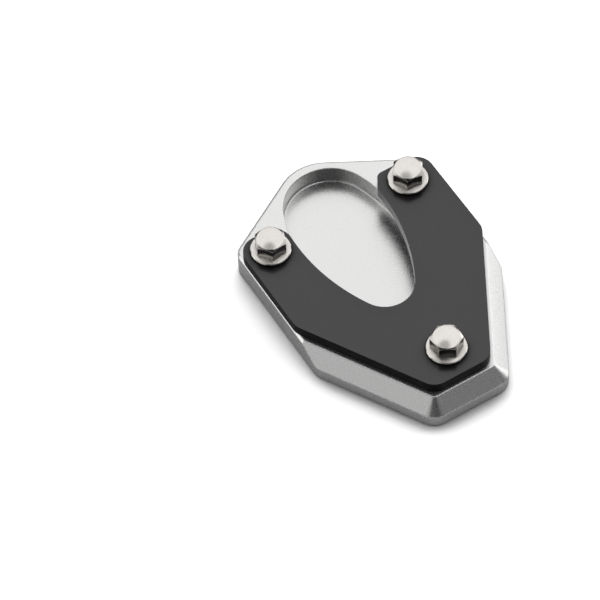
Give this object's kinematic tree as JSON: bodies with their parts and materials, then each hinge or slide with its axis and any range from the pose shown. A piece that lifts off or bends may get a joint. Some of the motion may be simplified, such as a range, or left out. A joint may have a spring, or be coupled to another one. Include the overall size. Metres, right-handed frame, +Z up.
{
  "type": "kickstand foot enlarger",
  "caption": "Bevelled metal base with an egg-shaped pocket for a side stand's foot and a black clamp plate held down by hex flange bolts.",
  "frame": {"origin": "on the ground, under the middle of the base's bounding box", "axes": "+Z up, +Y towards the pocket's rounded end and the open side of the clamp plate, -Y towards the broad bevelled front"},
  "size_m": [0.0908, 0.1051, 0.0218],
  "materials": {
    "bead_blasted_aluminium": "bead-blasted, clear anodised",
    "black_anodised_aluminium": "satin black anodised",
    "stainless_steel": "satin"
  },
  "bodies": {
    "root": {"foot_base": "bead_blasted_aluminium", "clamp_plate": "black_anodised_aluminium", "flange_bolt_left": "stainless_steel", "flange_bolt_rear": "stainless_steel", "flange_bolt_front": "stainless_steel"}
  },
  "joints": []
}
